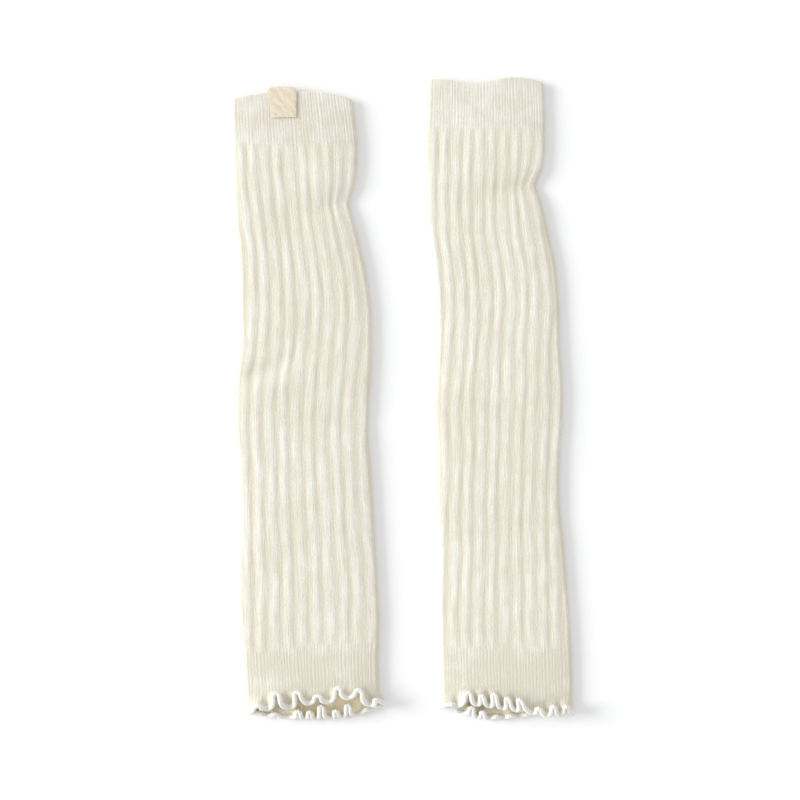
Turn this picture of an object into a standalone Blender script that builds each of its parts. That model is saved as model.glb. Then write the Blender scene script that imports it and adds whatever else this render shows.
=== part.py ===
"""A pair of knitted leg warmers lying flat, side by side, with their hems towards -Y.

Each leg is one knitted tube in four lengths: a fine ribbed top cuff, a wide ribbed leg, a fine ribbed
ankle cuff and a wavy lettuce-edge ruffle. The left one has a small folded label over its top edge.
Lengths below are in millimetres, and the objects are made in metres. +X is across the pair, +Y runs
up the legs to the top cuffs, and +Z is up from the surface that the pair lies on.
"""

import math

import bmesh
import bpy
import numpy as np

MM = 0.001

# The knitting
BODY_RIBS = 20
CUFF_RIBS_PER_BODY_RIB = 4
MIDDLE_RIB = 10
RIB_ROUNDNESS = 0.65

# The cloth: each wall is measured outwards from the tube's inner face
MEAN_WALL = 2.2
HALF_WALL = MEAN_WALL / 2
BODY_RIB_HEIGHT = 1.3
BODY_VALLEY_WALL = MEAN_WALL - BODY_RIB_HEIGHT / 2
CUFF_RIB_HEIGHT = 0.6
CUFF_VALLEY_WALL = MEAN_WALL - CUFF_RIB_HEIGHT / 2
FOLD_GAP = 1.2
FOLD_RADIUS = FOLD_GAP / 2 + HALF_WALL
SIDE_REACH = 1.5
SEAM_GAP = 0.3

# The ruffle
RUFFLE_LENGTH = 12.5
RUFFLE_WALL, RUFFLE_BEAD = 1.2, 1.8
RUFFLE_MEANDER = 0.36
SIDE_EASE = 0.5

# The label
LABEL_LEFT, LABEL_RIGHT, LABEL_TAPER = -97.0, -75.7, 3.4
LABEL_FALL, LABEL_LOOP, LABEL_WALL = 19.0, 1.1, 1.0
LABEL_CLEARANCE = 0.3

# Resolution of the solids
POINTS_PER_BODY_RIB = 6
POINTS_PER_CUFF_RIB = 2
CUFF_ROWS = (0.0, 0.5, 1.0)
CUFF_INNER_COLUMNS = (15, 9)
BODY_INNER_COLUMNS = (10, 3)
RUFFLE_ROWS = (0.0, 0.3, 0.55, 0.75, 0.92, 1.0)
PLAIN_SHARE = 0.225

SECTION_COLUMNS = ("y", "left", "right", "rib_shift", "puff")
CREASE_COLUMNS = ("x", "y", "length", "width", "depth", "turn")
NOTCH_COLUMNS = ("y", "depth", "reach", "above", "below")

# Each edge has its y at seven even places from left to right, for the upper layer and then the under one.
# Each wave of the ruffle has its x and, in degrees, how far the edge curls up there: crest, trough, crest.
LEFT = {
    "name": "left",
    "points_per_wave": 10,
    "sections": (
        (224.0, -123.1, -37.0, -4.2, 1.1),
        (200.0, -122.8, -33.6, -4.2, 1.2),
        (181.0, -122.0, -31.8, -4.1, 1.4),
        (161.0, -121.3, -31.7, -3.3, 1.7),
        (150.0, -121.0, -31.6, -2.5, 1.6),
        (140.5, -120.6, -31.5, -1.9, 1.5),
        (127.0, -119.8, -30.9, -1.1, 1.6),
        (110.5, -118.2, -29.2, -0.5, 1.7),
        (89.0, -117.0, -25.4, -0.3, 1.6),
        (63.5, -116.6, -22.3, -0.8, 1.5),
        (38.5, -116.4, -22.0, -2.5, 1.7),
        (17.0, -119.0, -22.3, -3.6, 1.2),
        (-5.0, -119.9, -23.7, -3.9, 1.7),
        (-26.0, -119.4, -24.0, -4.3, 1.6),
        (-51.5, -117.2, -22.1, -5.4, 1.5),
        (-87.5, -117.0, -19.8, -5.2, 1.7),
        (-130.5, -117.6, -17.6, -4.0, 1.6),
        (-166.5, -116.6, -15.9, -5.1, 1.4),
        (-185.0, -114.6, -16.8, -5.3, 1.6),
        (-210.0, -112.8, -16.2, -5.3, 1.9),
        (-232.0, -112.3, -15.8, -5.3, 2.0),
    ),
    "edges": {
        "top": (
            (215.8, 218.6, 220.6, 221.0, 220.8, 219.2, 215.2),
            (215.2, 217.6, 219.4, 219.8, 219.6, 218.0, 214.8),
        ),
        "cuff": (
            (182.4, 182.8, 183.0, 183.2, 183.4, 183.7, 184.0),
            (182.4, 182.8, 183.0, 183.2, 183.4, 183.7, 184.0),
        ),
        "ankle": (
            (-183.6, -182.0, -180.2, -178.2, -176.8, -176.2, -176.0),
            (-183.6, -182.0, -180.2, -178.2, -176.8, -176.2, -176.0),
        ),
        "hem": (
            (-212.8, -209.2, -207.8, -206.6, -205.0, -204.6, -208.4),
            (-213.2, -216.4, -217.8, -218.2, -217.4, -215.6, -209.0),
        ),
    },
    "upper_waves": (
        (-103.3, 106), (-97.2, 0), (-90.2, 150), (-82.1, -5), (-74.9, 143), (-67.7, 50), (-60.5, 109),
        (-52.2, 72), (-45.7, 158), (-38.2, 71), (-31.0, 140), (-24.5, 20), (-18.0, 100),
    ),
    "under_waves": (
        (-110.9, 0), (-104.4, 45), (-97.2, 0), (-90.0, 50), (-82.1, 0), (-74.2, 70), (-66.2, 10),
        (-58.3, 135), (-48.6, 5), (-38.9, 130), (-32.5, 0), (-26.8, 45), (-21.2, 0),
    ),
    "notches": ((140.5, 6.8, 30.0, 13.5, 20.0),),
    "creases": (
        (-44.0, 141.0, 24.0, 7.0, -1.0, 12.0),
        (-82.0, 131.0, 22.0, 9.0, -0.6, -20.0),
        (-58.0, 160.0, 15.0, 10.0, 0.5, -70.0),
        (-98.0, 21.0, 30.0, 6.5, -0.9, 21.0),
        (-97.0, 5.0, 26.0, 8.0, 0.5, 16.0),
        (-40.0, -14.0, 24.0, 7.0, -0.6, -12.0),
        (-60.0, -66.0, 26.0, 10.0, 0.4, 6.0),
        (-92.0, -118.0, 26.0, 9.0, -0.5, -8.0),
    ),
}

RIGHT = {
    "name": "right",
    "points_per_wave": 8,
    "sections": (
        (233.0, 18.0, 101.9, -3.6, 1.1),
        (207.5, 17.6, 103.0, -3.7, 1.2),
        (182.5, 16.9, 103.4, -3.8, 1.5),
        (166.0, 17.2, 103.1, -4.1, 1.6),
        (153.5, 17.6, 103.2, -4.7, 1.5),
        (139.0, 18.1, 103.8, -5.4, 1.5),
        (117.5, 19.5, 106.2, -6.7, 1.7),
        (98.0, 22.2, 110.4, -7.0, 1.7),
        (71.0, 24.6, 113.0, -7.4, 1.5),
        (38.5, 25.8, 113.8, -10.2, 1.6),
        (9.5, 24.2, 115.8, -11.6, 1.7),
        (-8.5, 23.1, 115.9, -11.9, 1.3),
        (-33.5, 24.7, 114.2, -11.8, 1.6),
        (-73.0, 24.8, 113.9, -12.7, 1.6),
        (-105.5, 26.5, 116.9, -15.4, 1.5),
        (-145.0, 26.7, 119.8, -17.8, 1.7),
        (-177.5, 27.4, 122.0, -19.2, 1.5),
        (-210.0, 28.3, 122.8, -19.3, 1.8),
        (-232.0, 28.4, 122.0, -19.3, 1.9),
    ),
    "edges": {
        "top": (
            (229.9, 229.7, 227.2, 228.2, 230.8, 230.7, 227.4),
            (229.4, 228.8, 226.2, 227.2, 229.8, 229.6, 226.8),
        ),
        "cuff": (
            (195.2, 194.8, 194.4, 194.2, 194.3, 194.6, 194.9),
            (195.2, 194.8, 194.4, 194.2, 194.3, 194.6, 194.9),
        ),
        "ankle": (
            (-179.2, -179.5, -179.7, -179.8, -179.7, -179.5, -179.2),
            (-179.2, -179.5, -179.7, -179.8, -179.7, -179.5, -179.2),
        ),
        "hem": (
            (-212.8, -207.2, -207.0, -209.2, -212.8, -215.3, -215.7),
            (-213.2, -215.6, -218.2, -217.8, -216.2, -215.8, -215.9),
        ),
    },
    "upper_waves": (
        (34.2, 58), (40.2, 0), (47.5, 134), (52.6, 35), (57.2, 114), (61.6, 20), (66.0, 138), (70.6, 0),
        (75.6, 120), (80.0, 25), (84.4, 124), (91.4, 20), (97.9, 82), (103.3, 15), (108.3, 106), (113.0, 0),
        (117.4, 96),
    ),
    "under_waves": (
        (31.2, 18), (37.0, 38), (41.4, 0), (45.5, 55), (50.0, 10), (54.6, 90), (60.5, 0), (66.2, 60),
        (72.0, 0), (77.8, 45), (84.2, 0), (90.7, 25), (97.2, 0), (103.0, 15), (108.7, 0), (114.5, 12),
        (120.5, 0),
    ),
    "notches": ((153.5, 6.6, 30.0, 9.4, 14.4),),
    "creases": (
        (88.0, 152.0, 26.0, 6.5, -1.0, 6.0),
        (50.0, 147.0, 30.0, 7.0, -0.8, -4.0),
        (62.0, 164.0, 26.0, 9.0, 0.4, 0.0),
        (84.0, 3.0, 22.0, 9.0, 0.6, 4.0),
        (72.0, -6.5, 28.0, 4.5, -0.8, -5.0),
        (45.0, 30.0, 24.0, 8.0, -0.5, -16.0),
        (90.0, -92.0, 26.0, 10.0, -0.5, 10.0),
        (56.0, -128.0, 26.0, 9.0, 0.4, -6.0),
    ),
}


def smooth_through(places, values, at):
    """A curve through values at rising places, with each one's slope taken from its two neighbours."""
    places = np.asarray(places, float)
    values = np.asarray(values, float)
    slopes = np.gradient(values, places)
    first = np.clip(np.searchsorted(places, at) - 1, 0, len(places) - 2)
    step = places[first + 1] - places[first]
    t = np.clip((at - places[first]) / step, 0, 1)
    rise = values[first + 1] - values[first]
    start, end = slopes[first] * step, slopes[first + 1] * step
    return values[first] + t * (start + t * (3 * rise - 2 * start - end + t * (start + end - 2 * rise)))


def smoothstep(low, high, value):
    t = np.clip((value - low) / (high - low), 0, 1)
    return t * t * (3 - 2 * t)


def section(leg, column, y):
    """One column of the leg's section table, read smoothly at y."""
    rows = leg["sections"][::-1]
    index = SECTION_COLUMNS.index(column)
    return smooth_through([row[0] for row in rows], [row[index] for row in rows], y)


def half_flat(leg, y):
    """Half the width of the flat stretch between the two side folds, on the middle of the wall."""
    half_width = (section(leg, "right", y) - section(leg, "left", y)) / 2
    return half_width - SIDE_REACH - FOLD_RADIUS


def girth(leg, y):
    return 4 * half_flat(leg, y) + 2 * math.pi * FOLD_RADIUS


def crease_lift(leg, x, y):
    """How far the creases raise or sink the upper layer: each is a long soft bell on a turned axis."""
    lift = np.zeros(np.broadcast(x, y).shape)
    for row in leg["creases"]:
        crease = dict(zip(CREASE_COLUMNS, row))
        turn = math.radians(crease["turn"])
        dx, dy = x - crease["x"], y - crease["y"]
        along = (dx * math.cos(turn) + dy * math.sin(turn)) / crease["length"]
        across = (dy * math.cos(turn) - dx * math.sin(turn)) / crease["width"]
        lift = lift + crease["depth"] * np.exp(-(along**2) - across**2)
    return lift


def notch_shift(leg, x, y):
    """How far the notches push the right side in: deepest at the fold, fading inwards and along the leg."""
    shift = np.zeros(np.broadcast(x, y).shape)
    for row in leg["notches"]:
        notch = dict(zip(NOTCH_COLUMNS, row))
        along = y - notch["y"]
        steepness = np.where(along > 0, along / notch["above"], -along / notch["below"])
        edge = section(leg, "right", notch["y"])
        near = smoothstep(edge - notch["reach"], edge, x)
        shift = shift - notch["depth"] * np.exp(-(steepness**1.4)) * near
    return shift


def tube(leg, share, y, out):
    """Points of the flattened tube, and their outward normals in the cross section.

    share is the part of the girth passed from the middle of the underside towards +X, y the place
    along the leg, and out the distance outside the inner face. The section is two flats joined by
    two half circles. Its upper layer is raised by the puff and the creases, and its right side is
    pushed in by the notches.
    """
    share, y, out = np.broadcast_arrays(np.mod(share, 1.0), y, out)
    flat, turn = half_flat(leg, y), math.pi * FOLD_RADIUS
    centre = (section(leg, "left", y) + section(leg, "right", y)) / 2
    passed = share * girth(leg, y)
    right_fold, top = passed - flat, passed - flat - turn
    left_fold, under = top - 2 * flat, top - 2 * flat - turn
    angle = np.select(
        [right_fold < 0, top < 0, left_fold < 0, under < 0],
        [0.0, right_fold / FOLD_RADIUS, math.pi, math.pi + left_fold / FOLD_RADIUS],
        2 * math.pi,
    )
    x = np.select(
        [right_fold < 0, top < 0, left_fold < 0, under < 0],
        [passed, flat, flat - top, -flat],
        under - flat,
    )
    normal_x, normal_z = np.sin(angle), -np.cos(angle)
    radius = FOLD_RADIUS + out - HALF_WALL
    upper = (1 + normal_z) / 2
    across = np.clip(x / (flat + FOLD_RADIUS), -1, 1)
    place_x = centre + x + normal_x * radius
    lift = upper * (section(leg, "puff", y) * (1 - across**4) + crease_lift(leg, place_x, y))
    place_z = HALF_WALL + FOLD_RADIUS + normal_z * radius + lift
    normals = np.stack([normal_x, np.zeros_like(x), normal_z], -1)
    return np.stack([place_x + notch_shift(leg, place_x, y), y, place_z], -1), normals


def edge_line(leg, edge, share):
    """y of one of the leg's edges at each share of the girth, round the upper and the under layer."""
    upper_line, under_line = leg["edges"][edge]
    middle = upper_line[3]
    points, normals = tube(leg, share, middle, HALF_WALL)
    left, right = section(leg, "left", middle), section(leg, "right", middle)
    across = np.clip(2 * (points[..., 0] - left) / (right - left) - 1, -1, 1)
    places = np.linspace(-1, 1, 7)
    on_upper = smooth_through(places, upper_line, across)
    on_under = smooth_through(places, under_line, across)
    return on_under + (on_upper - on_under) * (1 + normals[..., 2]) / 2


def rib_share(leg, rib, y):
    """Share of the girth at which a rib of the leg lies: the tube is a little twisted as it lies."""
    return 0.5 + (rib - MIDDLE_RIB) / BODY_RIBS - section(leg, "rib_shift", y) / girth(leg, y)


def edge_middle(leg, edge):
    return leg["edges"][edge][0][3]


def between(leg, ribs, upper_edge, lower_edge, down):
    """Shares and y of points on the lines of these ribs, a part of the way down between two edges."""
    ends = []
    for edge in (upper_edge, lower_edge):
        share = rib_share(leg, ribs, edge_middle(leg, edge))
        ends.append(edge_line(leg, edge, share))
    top, bottom = ends[0] - SEAM_GAP / 2, ends[1] + SEAM_GAP / 2
    y = top + (bottom - top) * down
    return rib_share(leg, ribs, y), y


def rib_wall(share, leg, y, phase, valley, height):
    """Wall thickness over round ribs, which go flat where the underside rests."""
    _, normals = tube(leg, share, y, HALF_WALL)
    raised = (0.5 + 0.5 * np.cos(2 * math.pi * phase)) ** RIB_ROUNDNESS
    free = smoothstep(-0.95, -0.25, normals[..., 2])
    return valley + height * (0.5 + free * (raised - 0.5))


def rib_columns(leg, top, bottom, points_per_rib, ribs_per_rib):
    """Rib numbers of the outer columns: close together where ribs show, one a body rib underneath."""
    ends = np.linspace(bottom, top, 12)
    columns = []
    for rib in range(BODY_RIBS):
        shares = rib_share(leg, np.array([[rib - 0.5], [rib + 0.5]]), ends)
        offset = np.abs(np.mod(shares + 0.5, 1.0) - 0.5)
        if offset.max() < PLAIN_SHARE:
            columns.append(rib)
        else:
            count = points_per_rib * ribs_per_rib
            columns.extend(rib - 0.5 + np.arange(count) / count)
    return np.array(columns, float)


def inner_columns(upper_count, under_count):
    """Shares of the girth for the plain inner face, close together round the two side folds."""
    fold = np.array((-0.024, -0.016, -0.01, -0.005, 0.0, 0.005, 0.01, 0.016, 0.024))
    upper = np.linspace(0.25, 0.75, upper_count + 2)[1:-1]
    under = np.linspace(0.75, 1.25, under_count + 2)[1:-1]
    return np.sort(np.mod(np.concatenate([0.25 + fold, upper, 0.75 + fold, under]), 1.0))


def zip_rings(outer, inner):
    """Triangles between two rings of (share, index) with different counts, across from each other."""
    outer, inner = sorted(outer), sorted(inner)
    far_outer = [share for share, _ in outer] + [outer[0][0] + 1]
    far_inner = [share for share, _ in inner] + [inner[0][0] + 1]
    faces, i, j = [], 0, 0
    while i < len(outer) or j < len(inner):
        a, b = outer[i % len(outer)][1], inner[j % len(inner)][1]
        outer_next = i < len(outer) and (
            j == len(inner) or far_outer[i] + far_outer[i + 1] <= far_inner[j] + far_inner[j + 1]
        )
        if outer_next:
            faces.append((a, outer[(i + 1) % len(outer)][1], b))
            i += 1
        else:
            faces.append((a, inner[(j + 1) % len(inner)][1], b))
            j += 1
    return faces


def grid_faces(rows, columns, start):
    """Quads of a grid that closes on itself round the tube, as vertex numbers from start."""
    return [
        (
            start + r * columns + c,
            start + r * columns + (c + 1) % columns,
            start + (r + 1) * columns + (c + 1) % columns,
            start + (r + 1) * columns + c,
        )
        for r in range(rows - 1)
        for c in range(columns)
    ]


def make_object(name, points, faces, material):
    """A mesh object in metres from points in millimetres, with its normals turned out."""
    shape = bmesh.new()
    verts = [shape.verts.new(point) for point in np.asarray(points) * MM]
    for face in faces:
        shape.faces.new([verts[i] for i in face])
    bmesh.ops.recalc_face_normals(shape, faces=shape.faces[:])
    if shape.calc_volume(signed=True) < 0:
        bmesh.ops.reverse_faces(shape, faces=shape.faces[:])
    mesh = bpy.data.meshes.new(name)
    shape.to_mesh(mesh)
    shape.free()
    mesh.materials.append(material)
    mesh.shade_smooth()
    mesh.set_sharp_from_angle(angle=math.radians(50))
    made = bpy.data.objects.new(name, mesh)
    bpy.context.scene.collection.objects.link(made)
    return made


def make_wall(name, outer, outer_shares, inner, inner_shares, material):
    """A closed tube wall from an outer and an inner grid of rings, joined at both ends."""
    rows, columns = outer.shape[:2]
    inner_rows, inner_count = inner.shape[:2]
    start = rows * columns
    faces = grid_faces(rows, columns, 0)
    faces += [face[::-1] for face in grid_faces(inner_rows, inner_count, start)]
    for row, inner_row in ((0, 0), (rows - 1, inner_rows - 1)):
        outer_ring = [(outer_shares[row, c], row * columns + c) for c in range(columns)]
        first = start + inner_row * inner_count
        inner_ring = [(inner_shares[c], first + c) for c in range(inner_count)]
        faces += zip_rings(outer_ring, inner_ring)
    points = np.concatenate([outer.reshape(-1, 3), inner.reshape(-1, 3)])
    return make_object(name, points, faces, material)


def make_ribbed_tube(leg, name, edges, rows, ribs_per_rib, points, inner_counts, valley, height, material):
    """One length of ribbed tube between two edges: ribs outside, plain inside."""
    top, bottom = (edge_middle(leg, edge) for edge in edges)
    ribs = rib_columns(leg, top, bottom, points, ribs_per_rib)
    down = np.array(rows)[:, None]
    shares, y = between(leg, ribs[None, :], *edges, down)
    wall = rib_wall(shares, leg, y, ribs[None, :] * ribs_per_rib, valley, height)
    outer, _ = tube(leg, shares, y, wall)
    inner_shares = inner_columns(*inner_counts)
    ends = [edge_line(leg, edge, inner_shares) for edge in edges]
    high, low = ends[0] - SEAM_GAP / 2, ends[1] + SEAM_GAP / 2
    inner_y = high + (low - high) * down
    inner, _ = tube(leg, inner_shares[None, :], inner_y, 0.0)
    return make_wall(name, outer, np.mod(shares, 1.0), inner, inner_shares, material)


def body_rows(leg):
    """How far down between the cuffs each section of the table lies."""
    top, bottom = edge_middle(leg, "cuff"), edge_middle(leg, "ankle")
    places = [row[0] for row in leg["sections"] if bottom + 8 < row[0] < top - 8]
    return [0.0] + [(top - y) / (top - bottom) for y in places] + [1.0]


def wave_rows(leg):
    """Share of the girth and curl of every crest and trough, once round the hem from the right fold."""
    y = edge_middle(leg, "hem")
    centre = (section(leg, "left", y) + section(leg, "right", y)) / 2
    shares, curls = [], []
    for x, curl in leg["upper_waves"][::-1]:
        shares.append(0.5 - (x - centre) / girth(leg, y))
        curls.append(math.radians(curl))
    for x, curl in leg["under_waves"]:
        shares.append(1.0 + (x - centre) / girth(leg, y))
        curls.append(math.radians(curl))
    return np.array(shares), np.array(curls)


def waves(leg, share):
    """Phase of the wave at each share, one for each crest or trough passed, and the curl there."""
    shares, curls = wave_rows(leg)
    count = len(shares)
    turns = np.arange(-count, 2 * count)
    places = np.concatenate([shares - 1, shares, shares + 1])
    phase = smooth_through(places, turns, share)
    first = np.floor(phase).astype(int)
    blend = 0.5 - 0.5 * np.cos(math.pi * (phase - first))
    start, end = curls[first % count], curls[(first + 1) % count]
    return phase, start + (end - start) * blend


def ruffle_middle(leg, share, out):
    """The middle of the ruffle's wall: out is 0 at its root and 1 at its edge.

    Each line from root to edge is an arc that leaves along the leg and curls up by an angle that
    waves round the hem. Towards the edge the waves also swing sideways into open loops.
    """
    share, out = np.broadcast_arrays(np.asarray(share, float), out)
    phase, curl = waves(leg, share)
    spacing = 2e-3 / (waves(leg, share + 1e-3)[0] - waves(leg, share - 1e-3)[0])
    swing = RUFFLE_MEANDER * spacing / (2 * math.pi) * np.sin(2 * math.pi * phase) * out**2
    place = share + swing
    root, normals = tube(leg, place, edge_line(leg, "hem", place) - SEAM_GAP / 2, HALF_WALL)
    sideways = normals[..., 0]
    angle = curl * (1 - SIDE_EASE * np.abs(sideways)) * out
    forward = RUFFLE_LENGTH * out * np.sinc(angle / math.pi)
    raised = RUFFLE_LENGTH * out * (angle / 2) * np.sinc(angle / (2 * math.pi)) ** 2
    lift = np.stack([2 * sideways, np.zeros_like(sideways), 2 - np.abs(sideways)], -1)
    lift /= np.linalg.norm(lift, axis=-1, keepdims=True)
    return root + lift * raised[..., None] - np.array((0.0, 1.0, 0.0)) * forward[..., None]


def make_ruffle(leg, material):
    """The wavy hem: a thin wall on both sides of its middle surface, with a thicker bead near the edge."""
    phases = np.arange(len(wave_rows(leg)[0]) // 2 * leg["points_per_wave"]) / (leg["points_per_wave"] / 2)
    even = np.linspace(0, 1, 2001)
    share = np.interp(phases, waves(leg, even)[0] - waves(leg, 0.0)[0], even)[None, :]
    out = np.array(RUFFLE_ROWS)[:, None]
    small = 1e-4
    round_way = ruffle_middle(leg, share + small, out) - ruffle_middle(leg, share - small, out)
    out_way = ruffle_middle(leg, share, out + small) - ruffle_middle(leg, share, out - small)
    normal = np.cross(out_way, round_way)
    normal /= np.linalg.norm(normal, axis=-1, keepdims=True)
    middle = ruffle_middle(leg, share, out)
    bead = smoothstep(0.75, 0.92, out) * (1 - smoothstep(0.92, 1.08, out))
    half = ((RUFFLE_WALL + (RUFFLE_BEAD - RUFFLE_WALL) * bead) / 2)[..., None]
    face, back = middle + normal * half, middle - normal * half
    shares = np.broadcast_to(share, face.shape[:2])
    return make_wall(f"{leg['name']}_ruffle", face, shares, back, shares[0], material)


def upper_share(leg, x, y):
    """Share of the girth at which the upper layer has this x."""
    centre = (section(leg, "left", y) + section(leg, "right", y)) / 2
    return 0.5 - (x - centre) / girth(leg, y)


def label_rows():
    """Fall below the cuff's top edge, distance outside its inner face and reach past the edge, row by row."""
    half = LABEL_WALL / 2 + LABEL_CLEARANCE
    ridge_wall = CUFF_VALLEY_WALL + CUFF_RIB_HEIGHT
    falls = (LABEL_FALL, LABEL_FALL * 0.66, LABEL_FALL * 0.33, 0.5)
    rows = [(fall, ridge_wall + half, 0.0) for fall in falls]
    radius = ridge_wall / 2 + half
    for turn in np.radians((30, 60, 90, 120, 150)):
        rows.append((0.0, ridge_wall / 2 + radius * math.cos(turn), LABEL_LOOP + radius * math.sin(turn)))
    return rows + [(fall, -half, 0.0) for fall in falls[::-1]]


def make_label(leg, material):
    """The label: a strip that lies on the cuff, turns over its top edge and runs back inside."""
    across = np.linspace(0, 1, 5)
    rows = []
    for fall, out, reach in label_rows():
        left = LABEL_LEFT + LABEL_TAPER * fall / LABEL_FALL + 0.3 * reach
        x = left + (LABEL_RIGHT - 0.3 * reach - left) * across
        share = upper_share(leg, x, edge_middle(leg, "top"))
        y = edge_line(leg, "top", share) - SEAM_GAP / 2 - fall
        points, _ = tube(leg, upper_share(leg, x, y), y, out)
        rows.append(points + np.array((0.0, reach, 0.0)))
    middle = np.array(rows)
    normal = np.cross(np.gradient(middle, axis=1), np.gradient(middle, axis=0))
    normal /= np.linalg.norm(normal, axis=-1, keepdims=True)
    face, back = middle + normal * LABEL_WALL / 2, middle - normal * LABEL_WALL / 2
    count, columns = middle.shape[:2]
    total = count * columns
    faces = []
    for r in range(count - 1):
        for c in range(columns - 1):
            quad = (r * columns + c, r * columns + c + 1, (r + 1) * columns + c + 1, (r + 1) * columns + c)
            faces += [quad, tuple(i + total for i in quad[::-1])]
    rim = list(range(columns))
    rim += [r * columns + columns - 1 for r in range(1, count)]
    rim += [(count - 1) * columns + c for c in range(columns - 2, -1, -1)]
    rim += [r * columns for r in range(count - 2, 0, -1)]
    for a, b in zip(rim, rim[1:] + rim[:1]):
        faces.append((a, b, b + total, a + total))
    points = np.concatenate([face.reshape(-1, 3), back.reshape(-1, 3)])
    return make_object(f"{leg['name']}_label", points, faces, material)


def make_material(name, colour, roughness):
    material = bpy.data.materials.new(name)
    material.use_nodes = True
    shader = material.node_tree.nodes["Principled BSDF"]
    shader.inputs["Base Color"].default_value = (*colour, 1)
    shader.inputs["Roughness"].default_value = roughness
    shader.inputs["Metallic"].default_value = 0
    return material


def make_leg(leg, materials):
    """The four knitted lengths of one leg warmer, top to hem."""
    cuff = (
        CUFF_ROWS, CUFF_RIBS_PER_BODY_RIB, POINTS_PER_CUFF_RIB, CUFF_INNER_COLUMNS, CUFF_VALLEY_WALL, CUFF_RIB_HEIGHT,
    )
    body = (body_rows(leg), 1, POINTS_PER_BODY_RIB, BODY_INNER_COLUMNS, BODY_VALLEY_WALL, BODY_RIB_HEIGHT)
    name = leg["name"]
    make_ribbed_tube(leg, f"{name}_top_cuff", ("top", "cuff"), *cuff, materials["cuff"])
    make_ribbed_tube(leg, f"{name}_ribbed_leg", ("cuff", "ankle"), *body, materials["rib"])
    make_ribbed_tube(leg, f"{name}_ankle_cuff", ("ankle", "hem"), *cuff, materials["cuff"])
    make_ruffle(leg, materials["ruffle"])


def main():
    for old in list(bpy.data.objects):
        bpy.data.objects.remove(old)
    materials = {
        "rib": make_material("rib_knit", (0.83, 0.80, 0.70), 0.92),
        "cuff": make_material("cuff_knit", (0.85, 0.82, 0.74), 0.92),
        "ruffle": make_material("ruffle_knit", (0.88, 0.86, 0.80), 0.9),
        "label": make_material("label_weave", (0.86, 0.76, 0.60), 0.8),
    }
    for leg in (LEFT, RIGHT):
        make_leg(leg, materials)
    make_label(LEFT, materials["label"])


main()
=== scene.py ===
import math
from functools import partial

import bpy
import numpy as np
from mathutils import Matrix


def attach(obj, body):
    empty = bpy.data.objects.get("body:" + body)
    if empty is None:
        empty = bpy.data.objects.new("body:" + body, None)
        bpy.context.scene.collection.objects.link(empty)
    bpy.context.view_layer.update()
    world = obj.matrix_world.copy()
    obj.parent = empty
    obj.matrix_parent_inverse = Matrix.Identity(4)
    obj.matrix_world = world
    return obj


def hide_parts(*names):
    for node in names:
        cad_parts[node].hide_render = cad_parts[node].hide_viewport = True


# The finished look of a pair of knitted leg warmers lying flat, side by side, round their CAD solids.
# Lengths are in millimetres, as in the solids' own source, and the meshes are made in metres.
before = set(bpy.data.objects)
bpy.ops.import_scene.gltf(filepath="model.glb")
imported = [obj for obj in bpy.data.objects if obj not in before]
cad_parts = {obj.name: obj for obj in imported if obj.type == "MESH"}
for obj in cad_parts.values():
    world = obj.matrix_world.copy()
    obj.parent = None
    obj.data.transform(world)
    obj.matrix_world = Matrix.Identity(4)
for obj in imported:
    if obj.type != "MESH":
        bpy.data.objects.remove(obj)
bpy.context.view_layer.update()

MM = 0.001

# The knitting, all round the tube
BODY_RIBS = 20
CUFF_RIBS = 80
MIDDLE_RIB = 10
WALES = 160
COURSE = 1.5
RIB_ROUNDNESS = 0.9

# The cloth: each wall is measured outwards from the tube's inner face
MEAN_WALL = 2.2
HALF_WALL = MEAN_WALL / 2
BODY_RIB_HEIGHT, CUFF_RIB_HEIGHT, INNER_RIB_HEIGHT = 0.4, 0.09, 0.1
FOLD_GAP = 1.2
FOLD_RADIUS = FOLD_GAP / 2 + HALF_WALL
SIDE_REACH = 1.5
SEAM_ABOVE, SEAM_BELOW = 2.0, 4.5
CREASE_GAIN = 1.6

# How much deeper the colour is: painted shade in creases, on folds, towards the ruffle's edge and on the
# tube's inner face, and a deeper tone in the ankle cuff, which grows on from the seam
CREASE_PAINTED_SHADE, FOLD_PAINTED_SHADE, ANKLE_TONE, RUFFLE_PAINTED_SHADE = 0.4, 0.5, 0.28, 0.6
ANKLE_TONE_REACH, SEAM_TONE_SHARE, INNER_PAINTED_SHADE = 12.0, 0.4, 0.3

# The ruffle and its overlocked edge: the upper layer's ruffle is pulled out longer than the under one's
UPPER_RUFFLE, UNDER_RUFFLE = 14.5, 12.5
RUFFLE_WALL, RUFFLE_REACH = 1.2, 0.985
RUFFLE_MEANDER, RUFFLE_PINCH = 1.0, 0.72
CALM_WAVE, LIVELY_WAVE = 0.3, 1.5
TROUGH_ROUND = 0.2
SIDE_EASE = 0.5
THREAD_WIDTH, THREAD_THICKNESS = 4.0, 3.3
THREAD_RIDGE, THREAD_SHARPNESS = 0.16, 1.5
THREAD_PITCH = 1.15
THREAD_LINE = 0.92
FLOOR_CLEARANCE = 0.02

# Where each change begins and ends on the way from the ruffle's root, 0, to its edge, 1
STANDS_FREE, WALL_THINS, RIBS_FADE = (0.1, 0.5), (0, 0.35), (0.25, 0.95)
# Painted shade deepens towards the ruffle's edge over the first span here, and the painted glow on its inner
# face pales over the second
PAINTED_SHADE_DEEPENS, PAINTED_GLOW_PALES = (0.1, 0.6), (0.5, 0.9)
# The second value here is how much of the painted glow pales at the edge
RIB_FADE, PAINTED_GLOW_FADE = 0.72, 0.25

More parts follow.
